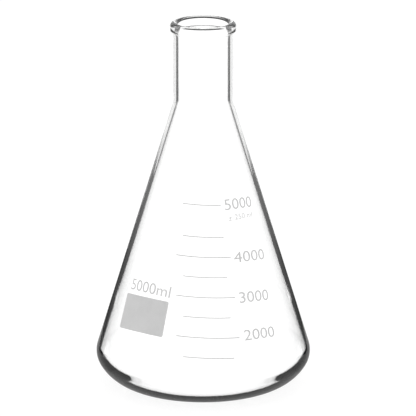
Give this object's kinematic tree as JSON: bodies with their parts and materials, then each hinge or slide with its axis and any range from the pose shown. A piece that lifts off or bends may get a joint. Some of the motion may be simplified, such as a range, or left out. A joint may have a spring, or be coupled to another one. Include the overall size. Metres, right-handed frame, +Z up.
{
  "type": "erlenmeyer flask",
  "caption": "Conical glass laboratory flask with a rounded heel, a straight neck and a beaded rim, and a printed volume scale with a plain patch for notes.",
  "frame": {"origin": "middle of the plane that the foot stands on", "axes": "+Z up along the axis of the body and neck; the printed scale faces -Y"},
  "size_m": [0.22, 0.22, 0.378],
  "materials": {
    "glass": "clear, fire-polished borosilicate glass",
    "enamel": "fired enamel print, satin, pale grey"
  },
  "bodies": {
    "root": {"flask_body": "glass", "mark_1500": "enamel", "mark_2000": "enamel", "mark_2500": "enamel", "mark_3000": "enamel", "mark_3500": "enamel", "mark_4000": "enamel", "mark_4500": "enamel", "mark_5000": "enamel", "marking_patch": "enamel"}
  },
  "joints": []
}
